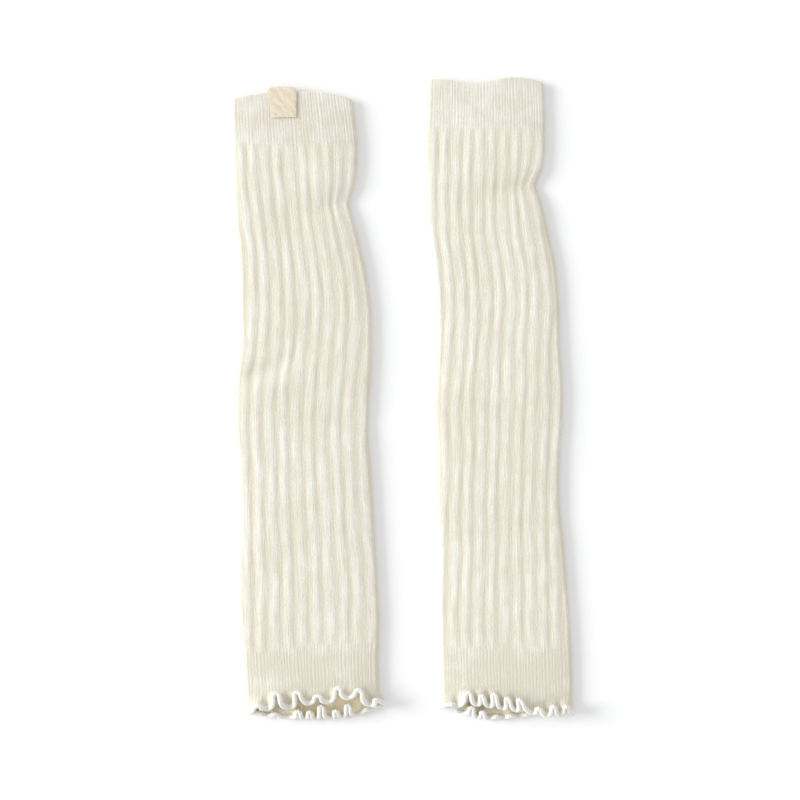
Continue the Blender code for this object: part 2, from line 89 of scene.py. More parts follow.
# The label
LABEL_LEFT, LABEL_RIGHT, LABEL_TAPER = -97.0, -75.7, 3.4
LABEL_FALL, LABEL_LOOP, LABEL_WALL = 19.0, 1.1, 0.8
LABEL_CLEARANCE, LABEL_CORNER = 0.4, 3.6
LABEL_WIDTH = LABEL_RIGHT - LABEL_LEFT
RIDGE_WALL = MEAN_WALL + CUFF_RIB_HEIGHT / 2
LABEL_RADIUS = RIDGE_WALL / 2 + LABEL_WALL / 2 + LABEL_CLEARANCE
LABEL_FRONT = LABEL_FALL + LABEL_LOOP
LABEL_LENGTH = 2 * LABEL_FRONT + math.pi * LABEL_RADIUS
PUCKER_HEIGHT, PUCKERS_ACROSS, PUCKER_LENGTH, PUCKER_REACH = 0.12, 2.5, 9.0, 5.0
TACK_RADIUS, TACK_LENGTH, TACK_INSET, TACK_SPACING = 0.2, 2.4, 1.5, 0.7
TACK_SUNK, TACK_ARCH, TACK_BOW = 0.3, 0.45, 0.12

# Slow waves that keep the knitting and the thread from being even. Each row has the wave's height, its
# length along the tube in mm, its turns round the tube and where it starts, in turns. The first of the
# wide ribs' strength makes them lowest near the upper layer's right fold.
WIDE_STRAY = ((0.035, 83.0, 3, 0.0), (0.02, 37.0, -7, 0.2), (0.012, 17.3, 9, 0.6))
WIDE_STRENGTH = (
    (0.25, math.inf, 1, 0.435), (0.28, 71.0, 7, 0.1), (0.22, 33.0, -4, 0.4), (0.3, math.inf, 9, 0.3),
)
FINE_STRAY = ((0.05, 31.0, 13, 0.0), (0.12, math.inf, 17, 0.4))
FINE_STRENGTH = ((0.25, 17.0, 11, 0.0), (0.35, 60.0, 29, 0.2))
THREAD_STRENGTH = ((0.07, math.inf, 3, 0.3), (0.05, math.inf, 41, 0.0))

# Meshes: columns round the tube, rows along its outside and rows along its inside
CUFF_GRID, BODY_GRID, RUFFLE_GRID = (640, 38, 12), (480, 132, 66), (640, 26, 20)
ROUND_TOP_STEPS = 10
THREAD_STEPS, THREAD_SIDES, THREAD_SAMPLES, EDGE_SAMPLES = 5, 10, 6001, 3001
LABEL_ROWS, LABEL_HALF_COLUMNS = 120, 34
TACK_ROWS, TACK_SIDES = 14, 8

# The lengths of each tube: its node's end, its upper and lower edge, its grid and its finish
LENGTHS = (
    ("top_cuff", ("top", "cuff"), CUFF_GRID, "cuff_knit"),
    ("ribbed_leg", ("cuff", "ankle"), BODY_GRID, "rib_knit"),
    ("ankle_cuff", ("ankle", "hem"), CUFF_GRID, "cuff_knit"),
)

# The photographer's place: straight above, with the pair's hems at the foot of the picture
CAMERA_PLACE = (-1.44, -1.08, 1604.0)
CAMERA_LENS, CAMERA_SENSOR = 100.0, 36.0

# The studio: the sun's width and its turns about X and Y are in degrees, and the paper's reach in metres
SUN_STRENGTH, SUN_WIDTH, SUN_TURNS, SUN_COLOUR = 2.95, 30, (-8, -69), (0.96, 0.98, 1.0)
SKY_STRENGTH, SKY_COLOUR = 0.8, (0.992, 0.993, 0.997, 1)
FLOOR_REACH = 15.0

# Colours of the yarns: on their crests, and deep, which is painted shade in hollows, gaps, creases and folds,
# and also the yarns' slow random drifts of tone
RIB_COLOURS = (0.883, 0.858, 0.81, 1), (0.737, 0.697, 0.57, 1)
CUFF_COLOURS = (0.91, 0.885, 0.855, 1), (0.715, 0.675, 0.56, 1)
THREAD_COLOURS = (0.90, 0.89, 0.86, 1), (0.78, 0.76, 0.69, 1)
LABEL_COLOURS = (0.94, 0.87, 0.74, 1), (0.79, 0.68, 0.50, 1)
TACK_COLOURS = (0.90, 0.83, 0.70, 1), (0.72, 0.62, 0.47, 1)
# Painted glow: the warm yellow of light let through the cloth and bounced inside it, on inner faces
INSIDE_PAINTED_GLOW = (0.99, 0.91, 0.69, 1)

# Fine relief: in stitches and stitch heights, in fibres and shades to a metre, and in mm
STITCH_STRAY, STREAK_HEIGHT = 0.72, 1.8
FINE_FIBRES, COARSE_FIBRES, BROAD_SHADES, SMALL_SHADES = 2600.0, 900.0, 32.0, 110.0
THREAD_FIBRE_HEIGHT, WEAVE_HEIGHT, WARP_PITCH, WEFT_PITCH = 0.12, 0.14, 0.62, 0.5

SECTION_COLUMNS = ("y", "left", "right", "rib_shift", "puff")
CREASE_COLUMNS = ("x", "y", "length", "width", "depth", "turn")
NOTCH_COLUMNS = ("y", "depth", "reach", "above", "below")

# Each edge has its y at seven even places from left to right, for the upper layer and then the under one,
# and a seam has one such line for both. Each wave of the ruffle has its x, how far the edge curls up there
# in degrees, and how far it leans to the right. On the upper layer the first is a crest, on the under one
# a trough, and they take turns.
LEFT = {
    "name": "left",
    "sections": (
        (224.0, -123.1, -37.0, -4.2, 1.1),
        (200.0, -122.8, -33.6, -4.2, 1.2),
        (181.0, -122.0, -31.8, -4.1, 1.4),
        (161.0, -121.3, -31.7, -3.3, 1.7),
        (150.0, -121.0, -31.6, -2.5, 1.6),
        (140.5, -120.6, -31.5, -1.9, 1.5),
        (127.0, -119.8, -30.9, -1.1, 1.6),
        (110.5, -118.2, -29.2, -0.5, 1.7),
        (89.0, -117.0, -25.4, -0.3, 1.6),
        (63.5, -116.6, -22.3, -0.8, 1.5),
        (38.5, -116.4, -22.0, -2.5, 1.7),
        (17.0, -119.0, -22.3, -3.6, 1.2),
        (-5.0, -119.9, -23.7, -3.9, 1.7),
        (-26.0, -119.4, -24.0, -4.3, 1.6),
        (-51.5, -117.2, -22.1, -5.4, 1.5),
        (-87.5, -117.0, -19.8, -5.2, 1.7),
        (-130.5, -117.6, -17.6, -4.0, 1.6),
        (-166.5, -116.6, -15.9, -5.1, 1.4),
        (-185.0, -114.6, -16.8, -5.3, 1.6),
        (-210.0, -112.8, -16.2, -5.3, 1.9),
        (-232.0, -112.3, -15.8, -5.3, 2.0),
    ),
    "top": (
        (215.8, 218.6, 220.6, 221.0, 220.8, 219.2, 215.2),
        (215.2, 217.6, 219.4, 219.8, 219.6, 218.0, 214.8),
    ),
    "cuff": ((182.4, 182.8, 183.0, 183.2, 183.4, 183.7, 184.0),),
    "ankle": ((-183.6, -182.0, -180.2, -178.2, -176.8, -176.2, -176.0),),
    "hem": (
        (-212.8, -209.2, -207.8, -206.6, -205.0, -204.6, -208.4),
        (-213.2, -216.4, -217.8, -218.2, -217.4, -215.6, -209.0),
    ),
    "upper_waves": (
        (-103.3, 85, -0.6), (-97.2, 20, 0.4), (-90.2, 162, 0.0), (-82.1, 0, 1.2), (-74.9, 157, -0.4),
        (-67.7, 60, 0.8), (-60.5, 118, 0.0), (-52.2, 50, -0.6), (-45.7, 161, 0.0), (-38.2, 80, -0.8),
        (-31.0, 147, 0.4), (-24.5, 25, 1.0), (-18.0, 110, 0.0),
    ),
    "under_waves": (
        (-110.9, 0, 0.0), (-104.4, 45, 0.5), (-98.0, 0, 0.0), (-91.0, 60, -0.5), (-83.5, 0, 0.0),
        (-75.0, 105, 0.4), (-70.8, 20, 0.0), (-66.6, 100, 0.0), (-62.4, 5, 0.0), (-58.3, 150, 0.0),
        (-52.5, 0, 0.4), (-47.5, 100, -0.4), (-43.2, 5, 0.0), (-38.9, 145, -0.4), (-32.5, 0, 0.0),
        (-26.8, 50, 0.5), (-21.2, 0, 0.0),
    ),
    "notch": (140.5, 6.8, 30.0, 13.5, 20.0),
    "creases": (
        (-44.0, 141.0, 24.0, 7.0, -1.0, 12.0),
        (-82.0, 131.0, 22.0, 9.0, -0.6, -20.0),
        (-58.0, 160.0, 15.0, 10.0, 0.5, -70.0),
        (-98.0, 21.0, 30.0, 6.5, -0.9, 21.0),
        (-97.0, 5.0, 26.0, 8.0, 0.5, 16.0),
        (-40.0, -14.0, 24.0, 7.0, -0.6, -12.0),
        (-60.0, -66.0, 26.0, 10.0, 0.4, 6.0),
        (-92.0, -118.0, 26.0, 9.0, -0.5, -8.0),
    ),
}

RIGHT = {
    "name": "right",
    "sections": (
        (233.0, 18.0, 101.9, -3.6, 1.1),
        (207.5, 17.6, 103.0, -3.7, 1.2),
        (182.5, 16.9, 103.4, -3.8, 1.5),
        (166.0, 17.2, 103.1, -4.1, 1.6),
        (153.5, 17.6, 103.2, -4.7, 1.5),
        (139.0, 18.1, 103.8, -5.4, 1.5),
        (117.5, 19.5, 106.2, -6.7, 1.7),
        (98.0, 22.2, 110.4, -7.0, 1.7),
        (71.0, 24.6, 113.0, -7.4, 1.5),
        (38.5, 25.8, 113.8, -10.2, 1.6),
        (9.5, 24.2, 115.8, -11.6, 1.7),
        (-8.5, 23.1, 115.9, -11.9, 1.3),
        (-33.5, 24.7, 114.2, -11.8, 1.6),
        (-73.0, 24.8, 113.9, -12.7, 1.6),
        (-105.5, 26.5, 116.9, -15.4, 1.5),
        (-145.0, 26.7, 119.8, -17.8, 1.7),
        (-177.5, 27.4, 122.0, -19.2, 1.5),
        (-210.0, 28.3, 122.8, -19.3, 1.8),
        (-232.0, 28.4, 122.0, -19.3, 1.9),
    ),
    "top": (
        (229.9, 229.7, 227.2, 228.2, 230.8, 230.7, 227.4),
        (229.4, 228.8, 226.2, 227.2, 229.8, 229.6, 226.8),
    ),
    "cuff": ((195.2, 194.8, 194.4, 194.2, 194.3, 194.6, 194.9),),
    "ankle": ((-179.2, -179.5, -179.7, -179.8, -179.7, -179.5, -179.2),),
    "hem": (
        (-209.0, -206.8, -207.0, -209.2, -212.6, -214.6, -212.6),
        (-209.4, -214.6, -218.2, -217.8, -216.2, -215.6, -213.2),
    ),
    "upper_waves": (
        (34.2, 60, 0.0), (40.2, 20, -0.8), (47.5, 145, 0.0), (52.6, 40, 1.0), (57.2, 124, -0.6),
        (61.6, 20, 1.2), (66.0, 145, -0.4), (70.6, 5, 1.4), (75.6, 130, -0.6), (80.0, 30, 1.8),
        (84.4, 140, -0.8), (91.4, 45, 2.0), (97.9, 98, -0.4), (103.3, 40, 0.6), (108.3, 122, 0.0),
        (113.0, 40, 0.5), (117.4, 110, 0.0),
    ),
    "under_waves": (
        (31.2, 50, 0.0), (37.0, 60, 0.0), (43.0, 0, 0.0), (49.7, 120, 0.5), (54.0, 15, 0.0),
        (58.3, 95, -0.5), (62.5, 0, 0.0), (67.5, 50, 0.0), (72.5, 0, 0.0), (77.8, 45, 0.5),
        (84.2, 0, 0.0), (90.7, 25, 0.0), (97.2, 0, 0.0), (103.0, 15, 0.0), (108.7, 0, 0.0),
        (114.5, 12, 0.0), (120.5, 0, 0.0),
    ),
    "notch": (153.5, 6.6, 30.0, 9.4, 14.4),
    "creases": (
        (88.0, 152.0, 26.0, 6.5, -1.0, 6.0),
        (50.0, 147.0, 30.0, 7.0, -0.8, -4.0),
        (62.0, 164.0, 26.0, 9.0, 0.4, 0.0),
        (84.0, 3.0, 22.0, 9.0, 0.6, 4.0),
        (72.0, -6.5, 28.0, 4.5, -0.8, -5.0),
        (45.0, 30.0, 24.0, 8.0, -0.5, -16.0),
        (90.0, -92.0, 26.0, 10.0, -0.5, 10.0),
        (56.0, -128.0, 26.0, 9.0, 0.4, -6.0),
    ),
}


# Curves and the lie of the tube, by the same formulas as the solids


def smooth_through(places, values, at):
    """A curve through values at rising places, with each one's slope taken from its two neighbours."""
    places = np.asarray(places, float)
    values = np.asarray(values, float)
    slopes = np.gradient(values, places)
    first = np.clip(np.searchsorted(places, at) - 1, 0, len(places) - 2)
    step = places[first + 1] - places[first]
    t = np.clip((at - places[first]) / step, 0, 1)
    rise = values[first + 1] - values[first]
    start, end = slopes[first] * step, slopes[first + 1] * step
    return values[first] + t * (start + t * (3 * rise - 2 * start - end + t * (start + end - 2 * rise)))


def smoothstep(low, high, value):
    """0 below low, 1 above high, and 3t^2 - 2t^3 between them."""
    t = np.clip((value - low) / (high - low), 0, 1)
    return t * t * (3 - 2 * t)


def wave(turns):
    """One sine wave a turn."""
    return np.sin(2 * math.pi * turns)


def section(leg, column, y):
    """One column of the leg's section table, read smoothly at y."""
    rows = leg["sections"][::-1]
    index = SECTION_COLUMNS.index(column)
    return smooth_through([row[0] for row in rows], [row[index] for row in rows], y)


def middle_x(leg, y):
    """x halfway between the leg's left and right side."""
    return (section(leg, "left", y) + section(leg, "right", y)) / 2


def half_flat(leg, y):
    """Half the width of the flat stretch between the two side folds, on the middle of the wall."""
    half_width = (section(leg, "right", y) - section(leg, "left", y)) / 2
    return half_width - SIDE_REACH - FOLD_RADIUS


def girth(leg, y):
    """Once round the tube on the middle of the wall: four half flats and the two folds' half circles."""
    return 4 * half_flat(leg, y) + 2 * math.pi * FOLD_RADIUS


def crease_lift(leg, x, y):
    """How far the creases raise or sink the upper layer: each is a long soft bell on a turned axis."""
    lift = np.zeros(np.broadcast(x, y).shape)
    for row in leg["creases"]:
        crease = dict(zip(CREASE_COLUMNS, row))
        turn = math.radians(crease["turn"])
        dx, dy = x - crease["x"], y - crease["y"]
        along = (dx * math.cos(turn) + dy * math.sin(turn)) / crease["length"]
        across = (dy * math.cos(turn) - dx * math.sin(turn)) / crease["width"]
        lift = lift + crease["depth"] * np.exp(-(along**2) - across**2)
    return lift


def notch_shift(leg, x, y):
    """How far the notch pushes the right side in: most at the fold, fading inwards and along the leg."""
    notch = dict(zip(NOTCH_COLUMNS, leg["notch"]))
    along = y - notch["y"]
    steepness = np.where(along > 0, along / notch["above"], -along / notch["below"])
    edge = section(leg, "right", notch["y"])
    near = smoothstep(edge - notch["reach"], edge, x)
    return -notch["depth"] * np.exp(-(steepness**1.4)) * near


def tube(leg, share, y, out):
    """Points of the flattened tube, and their outward normals in the cross section.

    share is the part of the girth passed from the middle of the underside towards +X, y the place
    along the leg, and out the distance outside the inner face. The section is two flats joined by
    two half circles. Its upper layer is raised by the puff and the creases, and its right side is
    pushed in by the notch.
    """
    share, y, out = np.broadcast_arrays(np.mod(share, 1.0), y, out)
    flat, turn = half_flat(leg, y), math.pi * FOLD_RADIUS
    passed = share * girth(leg, y)
    right_fold, top = passed - flat, passed - flat - turn
    left_fold, under = top - 2 * flat, top - 2 * flat - turn
    stretches = [right_fold < 0, top < 0, left_fold < 0, under < 0]
    angles = [0.0, right_fold / FOLD_RADIUS, math.pi, math.pi + left_fold / FOLD_RADIUS]
    angle = np.select(stretches, angles, 2 * math.pi)
    x = np.select(stretches, [passed, flat, flat - top, -flat], under - flat)
    normal_x, normal_z = np.sin(angle), -np.cos(angle)
    radius = FOLD_RADIUS + out - HALF_WALL
    upper = (1 + normal_z) / 2
    across = np.clip(x / (flat + FOLD_RADIUS), -1, 1)
    place_x = middle_x(leg, y) + x + normal_x * radius
    puff = section(leg, "puff", y) * (1 - across**4)
    lift = upper * (puff + CREASE_GAIN * crease_lift(leg, place_x, y))
    place_z = HALF_WALL + FOLD_RADIUS + normal_z * radius + lift
    normals = np.stack([normal_x, np.zeros_like(x), normal_z], -1)
    return np.stack([place_x + notch_shift(leg, place_x, y), y, place_z], -1), normals


def edge_middle(leg, edge):
    """y of one of the leg's edges in the middle of the upper layer."""
    upper_line = leg[edge][0]
    return upper_line[len(upper_line) // 2]


def edge_line(leg, edge, share):
    """y of one of the leg's edges at each share of the girth, round the upper and the under layer."""
    upper_line, under_line = leg[edge][0], leg[edge][-1]
    middle = edge_middle(leg, edge)
    points, normals = tube(leg, share, middle, HALF_WALL)
    left, right = section(leg, "left", middle), section(leg, "right", middle)
    across = np.clip(2 * (points[..., 0] - left) / (right - left) - 1, -1, 1)
    places = np.linspace(-1, 1, len(upper_line))
    on_upper, on_under = (smooth_through(places, line, across) for line in (upper_line, under_line))
    return on_under + (on_upper - on_under) * (1 + normals[..., 2]) / 2


def rib_share(leg, rib, y):
    """Share of the girth at which a rib of the leg lies: the tube is a little twisted as it lies."""
    return 0.5 + (rib - MIDDLE_RIB) / BODY_RIBS - section(leg, "rib_shift", y) / girth(leg, y)


def upper_share(leg, x, y):
    """Share of the girth at which the upper layer has this x."""
    return 0.5 - (x - middle_x(leg, y)) / girth(leg, y)


def off_the_floor(normals):
    """0 where the wall faces down and rests on the floor, 1 where it is free to stand out."""
    return smoothstep(-0.95, -0.25, normals[..., 2])


# The relief of the knitting


def round_rib(phase):
    """A rounded rib: 1 on its crest at whole numbers and 0 in the hollow between two."""
    return (0.5 + 0.5 * np.cos(2 * math.pi * phase)) ** RIB_ROUNDNESS


def slow_waves(table, round_way, y):
    """The sum of a table's slow waves at a share of the way round the tube and a place along it."""
    return sum(
        height * wave(y / length + turns * round_way + start) for height, length, turns, start in table
    )


def knit_relief(ribs, y, body):
    """Height over the mean wall, and hollowness from 0 on a crest to 1 in a hollow.

    body is 1 in the wide ribs and 0 in the fine ones, and between them the two patterns are mixed.
    Slow waves make both kinds of ribs stray sideways, in ribs, and stand higher or lower.
    """
    at = ribs / BODY_RIBS, y
    wide = round_rib(ribs + slow_waves(WIDE_STRAY, *at))
    fine = round_rib(ribs * CUFF_RIBS / BODY_RIBS + slow_waves(FINE_STRAY, *at))
    wide_height = BODY_RIB_HEIGHT * (1 + slow_waves(WIDE_STRENGTH, *at))
    fine_height = CUFF_RIB_HEIGHT * (1 + slow_waves(FINE_STRENGTH, *at))
    height = body * wide_height * (wide - 0.5) + (1 - body) * fine_height * (fine - 0.5)
    return height, body * (1 - wide) + (1 - body) * (1 - fine)


# Meshes


def add_object(name, data):
    """A new object at the origin, linked to the scene."""
    added = bpy.data.objects.new(name, data)
    bpy.context.scene.collection.objects.link(added)
    return added


def signed_volume(points, quads):
    """Six times the volume inside the quads, each split in two triangles; negative if they face inwards."""
    a, b, c, d = (points[quads[:, i]] for i in range(4))
    halves = np.cross(b, c) + np.cross(c, d)
    return float((a * halves).sum())


def grid_quads(rows, columns, close_rows):
    """Corner numbers of the quads of a grid whose columns close, and each corner's column unwrapped."""
    row = np.arange(rows if close_rows else rows - 1)[:, None]
    column = np.arange(columns)[None, :]
    corners = [(row, column), (row, column + 1), (row + 1, column + 1), (row + 1, column)]
    quads = np.stack([(r % rows) * columns + c % columns for r, c in corners], -1)
    unwrapped = np.stack([c + 0 * r for r, c in corners], -1)
    return quads.reshape(-1, 4), unwrapped.reshape(-1, 4)


def make_piece(name, points, stitches, masks, material, close_rows=True, crease_angle=55):
    """A closed mesh from a grid of points whose columns close on themselves.

    Where the rows don't close too, each end is filled by strips between opposite columns. stitches has
    u for each column, counted on past the closing one, and v for each point. masks are values for each
    point, which the material reads by name; it reads 0 from one that is left out.
    """
    rows, columns = points.shape[:2]
    flat_points = points.reshape(-1, 3)
    quads, unwrapped = grid_quads(rows, columns, close_rows)
    if not close_rows:
        near = np.arange(columns // 2 - 1)
        strip = np.stack([near, columns - 1 - near, columns - 2 - near, near + 1], -1)
        far = strip[:, ::-1] + (rows - 1) * columns
        quads = np.concatenate([quads, strip, far])
        unwrapped = np.concatenate([unwrapped, strip, strip[:, ::-1]])
    if signed_volume(flat_points, quads) < 0:
        quads, unwrapped = quads[:, ::-1], unwrapped[:, ::-1]
    mesh = bpy.data.meshes.new(name)
    mesh.vertices.add(len(flat_points))
    mesh.vertices.foreach_set("co", (flat_points * MM).astype(np.float32).ravel())
    mesh.loops.add(quads.size)
    mesh.loops.foreach_set("vertex_index", quads.astype(np.int32).ravel())
    mesh.polygons.add(len(quads))
    mesh.polygons.foreach_set("loop_start", np.arange(0, quads.size, 4, dtype=np.int32))
    mesh.update(calc_edges=True)
    across, along = stitches
    along = np.broadcast_to(along, (rows, columns)).reshape(-1)
    layer = mesh.uv_layers.new(name="stitches")
    corner_uv = np.stack([across[unwrapped], along[quads]], -1)
    layer.data.foreach_set("uv", corner_uv.astype(np.float32).ravel())
    for mask_name, mask in masks.items():
        attribute = mesh.attributes.new(mask_name, "FLOAT", "POINT")
        values = np.broadcast_to(mask, (rows, columns))
        attribute.data.foreach_set("value", values.astype(np.float32).ravel())
    mesh.materials.append(material)
    mesh.shade_smooth()
    mesh.set_sharp_from_angle(angle=math.radians(crease_angle))
    mesh.validate()
    return add_object(name, mesh)


def columns_round(columns):
    """The rib at each column of a tube, and its stitch number, counted on past where the tube closes."""
    return np.arange(columns) * BODY_RIBS / columns, np.arange(columns + 1) * (WALES / columns)


def wall_profile(rows, inner_rows, round_top):
    """Once round the cut edge of a wall: up its outer face, over its top and down its inner face.

    Each row has how far down it lies between the two edges, how deep it lies in the wall, and how far
    it stands past the end as a share of half the wall. A round top is a half circle.
    """
    outer = np.linspace(1, 0, rows)
    inner = np.linspace(0, 1, inner_rows)
    turn = np.linspace(0, math.pi, ROUND_TOP_STEPS + 1)[1:-1] if round_top else np.array(())
    down = np.concatenate([outer, np.zeros(len(turn)), inner])
    depth = np.concatenate([np.zeros(rows), 0.5 - 0.5 * np.cos(turn), np.ones(inner_rows)])
    past = np.concatenate([np.zeros(rows), np.sin(turn), np.zeros(inner_rows)])
    return down[:, None], depth[:, None], past[:, None]


def make_tube(leg, name, edges, grid, material):
    """One length of the knitted tube: the wall's profile carried all round the flattened section.

    The wide ribs fade into the fine ones across the leg's two seams, and the tube's top edge is round.
    The wall goes flat where the underside rests, and its inner face has the fine ribs' other side in
    low relief. Shade is painted into the rib hollows, and where the upper layer sinks into a crease it
    counts as a little more hollow, as painted shade. Shade is also painted on the two folds, and the tone is
    deeper in the ankle cuff, where it deepens on from the seam. The inner face takes the painted glow.
    """
    columns, rows, inner_rows = grid
    round_top = edges[0] == "top"
    down, depth, past = wall_profile(rows, inner_rows, round_top)
    ribs, stitches = columns_round(columns)
    upper, lower, cuff, ankle = (
        edge_line(leg, edge, rib_share(leg, ribs, edge_middle(leg, edge)))
        for edge in (*edges, "cuff", "ankle")
    )
    top = upper - (HALF_WALL if round_top else 0)
    y = top + (lower - top) * down + HALF_WALL * past
    share = rib_share(leg, ribs, y)
    body = smoothstep(-SEAM_ABOVE, SEAM_BELOW, np.minimum(y - ankle, cuff - y))
    _, normals = tube(leg, share, y, HALF_WALL)
    relief, hollow = knit_relief(ribs, y, body)
    inner = INNER_RIB_HEIGHT * (1 - body) * (round_rib(ribs * CUFF_RIBS / BODY_RIBS + 0.5) - 0.5)
    out = (MEAN_WALL + relief * off_the_floor(normals)) * (1 - depth) - inner * depth
    points, _ = tube(leg, share, y, out)
    # Painted shade in the creases where the upper layer sinks
    sunk = np.clip(-crease_lift(leg, points[..., 0], y), 0, 1) * (1 + normals[..., 2]) / 2
    hollow = np.clip(hollow + CREASE_PAINTED_SHADE * sunk, 0, 1)
    deepening = SEAM_TONE_SHARE + (1 - SEAM_TONE_SHARE) * smoothstep(0, ANKLE_TONE_REACH, upper - y)
    end_tone = ANKLE_TONE * deepening if edges[0] == "ankle" else 0.0
    # Painted shade in the rib hollows, the creases and on the folds, a deeper tone in the ankle cuff, and the
    # painted glow on the inner face
    masks = {
        "hollow": hollow * (1 - depth) + INNER_PAINTED_SHADE * depth,
        "tone": end_tone + FOLD_PAINTED_SHADE * (1 - np.abs(normals[..., 2])),
        "inside": depth,
        "purl": hollow * body,
    }
    return make_piece(name, points, (stitches, -y / COURSE), masks, material)


def wave_rows(leg):
    """Every crest and trough once round the hem from the right fold: share of the girth, curl and lean."""
    y = edge_middle(leg, "hem")
    centre, around = middle_x(leg, y), girth(leg, y)
    upper, under = np.array(leg["upper_waves"][::-1]), np.array(leg["under_waves"])
    shares = [0.5 - (upper[:, 0] - centre) / around, 1 + (under[:, 0] - centre) / around]
    leans = np.concatenate([-upper[:, 2], under[:, 2]]) / around
    return np.concatenate(shares), np.radians(np.concatenate([upper[:, 1], under[:, 1]])), leans


def waves(leg, share):
    """At each share: the phase, one for each crest or trough passed, the curl, the lean and liveliness.

    A crest or trough is lively by how far its curl differs from the mean of its two neighbours'.
    Between two of them lean and liveliness go over by a half cosine. The curl goes up from a trough
    like a hyperbola of the sine of a quarter turn, so that both ends of the edge's curve look round.
    """
    shares, curls, leans = wave_rows(leg)
    count = len(shares)
    differences = np.abs(curls - (np.roll(curls, 1) + np.roll(curls, -1)) / 2)
    liveliness = np.clip((differences - CALM_WAVE) / (LIVELY_WAVE - CALM_WAVE), 0, 1)
    turns = np.arange(-count, 2 * count)
    places = np.concatenate([shares - 1, shares, shares + 1])
    phase = smooth_through(places, turns, share)
    crest_side = np.abs(np.cos(math.pi / 2 * phase))
    rounded = np.sqrt(crest_side**2 + TROUGH_ROUND**2) - TROUGH_ROUND
    rounded /= math.sqrt(1 + TROUGH_ROUND**2) - TROUGH_ROUND
    first = np.floor(phase).astype(int)
    crest, trough = (first + first % 2) % count, (first + 1 - first % 2) % count
    curl = curls[trough] + (curls[crest] - curls[trough]) * rounded
    blend = 0.5 + 0.5 * np.cos(math.pi * phase)
    lean, lively = (row[trough] + (row[crest] - row[trough]) * blend for row in (leans, liveliness))
    return phase, curl, lean, lively


def ruffle_middle(leg, share, out):
    """The middle of the ruffle's wall: out is 0 at its root and 1 at its edge.

    Each line from root to edge is an arc that leaves along the leg and curls up by an angle that
    waves round the hem. Towards the edge the waves also swing sideways: by a sine of two turns a
    wave, which bends their flanks over into loops, and less one of one turn, which pinches the crests.
    """
    share, out = np.broadcast_arrays(np.asarray(share, float), out)
    phase, curl, lean, lively = waves(leg, share)
    spacing = 2e-3 / (waves(leg, share + 1e-3)[0] - waves(leg, share - 1e-3)[0])
    swing = RUFFLE_MEANDER / 2 * np.sin(2 * math.pi * phase) - RUFFLE_PINCH * np.sin(math.pi * phase)
    place = share + (lively * spacing * swing / math.pi + lean) * out**2
    root, normals = tube(leg, place, edge_line(leg, "hem", place), HALF_WALL)
    sideways = normals[..., 0]
    length = UNDER_RUFFLE + (UPPER_RUFFLE - UNDER_RUFFLE) * (1 + normals[..., 2]) / 2
    angle = curl * (1 - SIDE_EASE * np.abs(sideways)) * out
    forward = length * out * np.sinc(angle / math.pi)
    raised = length * out * (angle / 2) * np.sinc(angle / (2 * math.pi)) ** 2
    lift = np.stack([2 * sideways, np.zeros_like(sideways), 2 - np.abs(sideways)], -1)
    lift /= np.linalg.norm(lift, axis=-1, keepdims=True)
    return root + lift * raised[..., None] - np.array((0.0, 1.0, 0.0)) * forward[..., None]


def surface_ways(surface, leg, first, second, small):
    """The unit vector along a surface's first coordinate, and its unit normal, by small differences."""
    first_way = surface(leg, first + small, second) - surface(leg, first - small, second)
    second_way = surface(leg, first, second + small) - surface(leg, first, second - small)
    ways = first_way, np.cross(first_way, second_way)
    return [way / np.linalg.norm(way, axis=-1, keepdims=True) for way in ways]


def make_ruffle(leg, material):
    """The wavy hem: down its outer face and back up its inner one, as thick as the cuff at its root.

    The wall thins from the cuff's to the ruffle's own over the first third, and the cuff's fine ribs
    run down onto it and fade towards the edge, which the overlock thread covers.
    """
    columns, rows, inner_rows = RUFFLE_GRID
    ribs, stitches = columns_round(columns)
    share = rib_share(leg, ribs, edge_middle(leg, "hem"))[None, :]
    face_out, back_out = np.linspace(0, RUFFLE_REACH, rows), np.linspace(RUFFLE_REACH, 0, inner_rows)
    out = np.concatenate([face_out, back_out])[:, None]
    on_back = np.concatenate([np.zeros(rows), np.ones(inner_rows)])[:, None]
    _, normal = surface_ways(ruffle_middle, leg, share, out, 1e-4)
    _, tube_normal = tube(leg, share, edge_middle(leg, "hem"), HALF_WALL)
    free = off_the_floor(tube_normal)
    free = free + (1 - free) * smoothstep(*STANDS_FREE, out)
    half = HALF_WALL + (RUFFLE_WALL / 2 - HALF_WALL) * smoothstep(*WALL_THINS, out)
    fade = 1 - RIB_FADE * smoothstep(*RIBS_FADE, out)
    fine = round_rib(ribs[None, :] * CUFF_RIBS / BODY_RIBS)
    face = half + CUFF_RIB_HEIGHT * fade * free * (fine - 0.5)
    back = half + INNER_RIB_HEIGHT * fade * (0.5 - fine)
    points = ruffle_middle(leg, share, out) + normal * np.where(on_back > 0, -back, face)[..., None]
    along = (UPPER_RUFFLE * out - edge_middle(leg, "hem")) / COURSE
    fold = 1 - np.abs(tube_normal[..., 2])
    # Painted shade in the fine ribs' hollows, on the folds and deepening towards the edge between the crests,
    # the ankle cuff's deeper tone carried on, and the painted glow on the inner face, paler towards the edge
    masks = {
        "hollow": (1 - fine) * fade * (1 - 0.5 * on_back),
        "tone": ANKLE_TONE + RUFFLE_PAINTED_SHADE * smoothstep(*PAINTED_SHADE_DEEPENS, out) + FOLD_PAINTED_SHADE * fold,
        "inside": on_back * (1 - PAINTED_GLOW_FADE * smoothstep(*PAINTED_GLOW_PALES, out)),
    }
    return make_piece(f"{leg['name']}_ruffle_knit", points, (stitches, along), masks, material)


